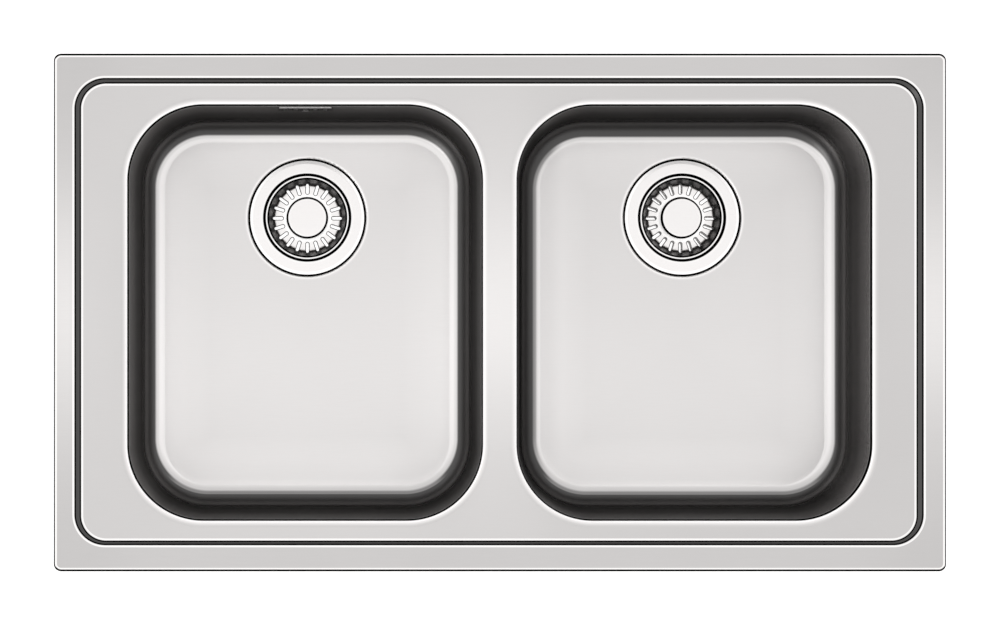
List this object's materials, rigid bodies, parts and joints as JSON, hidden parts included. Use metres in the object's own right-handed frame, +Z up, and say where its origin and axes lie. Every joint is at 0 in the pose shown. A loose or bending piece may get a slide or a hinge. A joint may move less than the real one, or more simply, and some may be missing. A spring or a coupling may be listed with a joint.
{
  "type": "double bowl kitchen sink",
  "caption": "Inset stainless steel double bowl kitchen sink with basket wastes, an overflow and clips that clamp it under a worktop.",
  "frame": {"origin": "middle of the worktop cut-out, level with the worktop's top face", "axes": "+X to the right along the sink, +Y to the rear, where the wastes are nearer, +Z up"},
  "size_m": [0.86, 0.5, 0.269],
  "materials": {
    "satin_steel": "satin stainless, finely brushed",
    "fine_steel": "bright stainless, lightly polished",
    "zinc_steel": "zinc plated pressings, dull",
    "screw_steel": "turned and rolled steel",
    "black_rubber": "matt moulded rubber",
    "damping_pad": "matt bitumen sheet",
    "seal_foam": "closed-cell foam",
    "hose_plastic": "soft matt hose",
    "white_plastic": "moulded polypropylene"
  },
  "bodies": {
    "sink": {"deck_panel": "satin_steel", "bowl_left": "satin_steel", "bowl_right": "satin_steel", "rim_seal": "seal_foam", "sound_pad_left": "damping_pad", "sound_pad_right": "damping_pad", "rail_rear": "zinc_steel", "rail_front": "zinc_steel", "rail_left": "zinc_steel", "rail_right": "zinc_steel", "overflow_cover": "fine_steel", "overflow_seal": "black_rubber", "overflow_screw": "screw_steel", "overflow_elbow": "white_plastic", "overflow_hose": "hose_plastic", "hose_nut_top": "white_plastic", "hose_nut_bottom": "white_plastic", "clip_brackets": "zinc_steel", "drain_flange_left": "fine_steel", "flange_gasket_left": "black_rubber", "waste_gasket_left": "black_rubber", "waste_body_left": "white_plastic", "clamp_screw_left": "screw_steel", "drain_flange_right": "fine_steel", "flange_gasket_right": "black_rubber", "waste_gasket_right": "black_rubber", "waste_body_right": "white_plastic", "clamp_screw_right": "screw_steel"},
    "basket_left": {"basket_cup_left": "fine_steel", "basket_knob_left": "fine_steel", "basket_stem_left": "screw_steel", "basket_seal_left": "black_rubber"},
    "basket_right": {"basket_cup_right": "fine_steel", "basket_knob_right": "fine_steel", "basket_stem_right": "screw_steel", "basket_seal_right": "black_rubber"},
    "clip_1": {"clip_screw_1": "zinc_steel"},
    "claw_1": {"clip_claw_1": "zinc_steel"},
    "clip_2": {"clip_screw_2": "zinc_steel"},
    "claw_2": {"clip_claw_2": "zinc_steel"},
    "clip_3": {"clip_screw_3": "zinc_steel"},
    "claw_3": {"clip_claw_3": "zinc_steel"},
    "clip_4": {"clip_screw_4": "zinc_steel"},
    "claw_4": {"clip_claw_4": "zinc_steel"},
    "clip_5": {"clip_screw_5": "zinc_steel"},
    "claw_5": {"clip_claw_5": "zinc_steel"},
    "clip_6": {"clip_screw_6": "zinc_steel"},
    "claw_6": {"clip_claw_6": "zinc_steel"},
    "clip_7": {"clip_screw_7": "zinc_steel"},
    "claw_7": {"clip_claw_7": "zinc_steel"},
    "clip_8": {"clip_screw_8": "zinc_steel"},
    "claw_8": {"clip_claw_8": "zinc_steel"}
  },
  "joints": [
    {"name": "basket_left_lift", "type": "slide", "parent": "sink", "child": "basket_left", "axis": [0, 0, 1], "range_m": [0, 0.23]},
    {"name": "basket_right_lift", "type": "slide", "parent": "sink", "child": "basket_right", "axis": [0, 0, 1], "range_m": [0, 0.23]},
    {"name": "clip_1_swing", "type": "hinge", "parent": "sink", "child": "clip_1", "pos_m": [-0.3, 0.2155, -0.055], "axis": [0, 0, 1], "range_deg": [0, 90]},
    {"name": "clip_1_clamp", "type": "slide", "parent": "clip_1", "child": "claw_1", "axis": [0, 0, 1], "range_m": [0, 0.032]},
    {"name": "clip_2_swing", "type": "hinge", "parent": "sink", "child": "clip_2", "pos_m": [0, 0.2155, -0.055], "axis": [0, 0, 1], "range_deg": [0, 90]},
    {"name": "clip_2_clamp", "type": "slide", "parent": "clip_2", "child": "claw_2", "axis": [0, 0, 1], "range_m": [0, 0.032]},
    {"name": "clip_3_swing", "type": "hinge", "parent": "sink", "child": "clip_3", "pos_m": [0.3, 0.2155, -0.055], "axis": [0, 0, 1], "range_deg": [0, 90]},
    {"name": "clip_3_clamp", "type": "slide", "parent": "clip_3", "child": "claw_3", "axis": [0, 0, 1], "range_m": [0, 0.032]},
    {"name": "clip_4_swing", "type": "hinge", "parent": "sink", "child": "clip_4", "pos_m": [-0.3, -0.2155, -0.055], "axis": [0, 0, 1], "range_deg": [0, 90]},
    {"name": "clip_4_clamp", "type": "slide", "parent": "clip_4", "child": "claw_4", "axis": [0, 0, 1], "range_m": [0, 0.032]},
    {"name": "clip_5_swing", "type": "hinge", "parent": "sink", "child": "clip_5", "pos_m": [0, -0.2155, -0.055], "axis": [0, 0, 1], "range_deg": [0, 90]},
    {"name": "clip_5_clamp", "type": "slide", "parent": "clip_5", "child": "claw_5", "axis": [0, 0, 1], "range_m": [0, 0.032]},
    {"name": "clip_6_swing", "type": "hinge", "parent": "sink", "child": "clip_6", "pos_m": [0.3, -0.2155, -0.055], "axis": [0, 0, 1], "range_deg": [0, 90]},
    {"name": "clip_6_clamp", "type": "slide", "parent": "clip_6", "child": "claw_6", "axis": [0, 0, 1], "range_m": [0, 0.032]},
    {"name": "clip_7_swing", "type": "hinge", "parent": "sink", "child": "clip_7", "pos_m": [-0.3955, 0, -0.055], "axis": [0, 0, 1], "range_deg": [0, 90]},
    {"name": "clip_7_clamp", "type": "slide", "parent": "clip_7", "child": "claw_7", "axis": [0, 0, 1], "range_m": [0, 0.032]},
    {"name": "clip_8_swing", "type": "hinge", "parent": "sink", "child": "clip_8", "pos_m": [0.3955, 0, -0.055], "axis": [0, 0, 1], "range_deg": [0, 90]},
    {"name": "clip_8_clamp", "type": "slide", "parent": "clip_8", "child": "claw_8", "axis": [0, 0, 1], "range_m": [0, 0.032]}
  ]
}
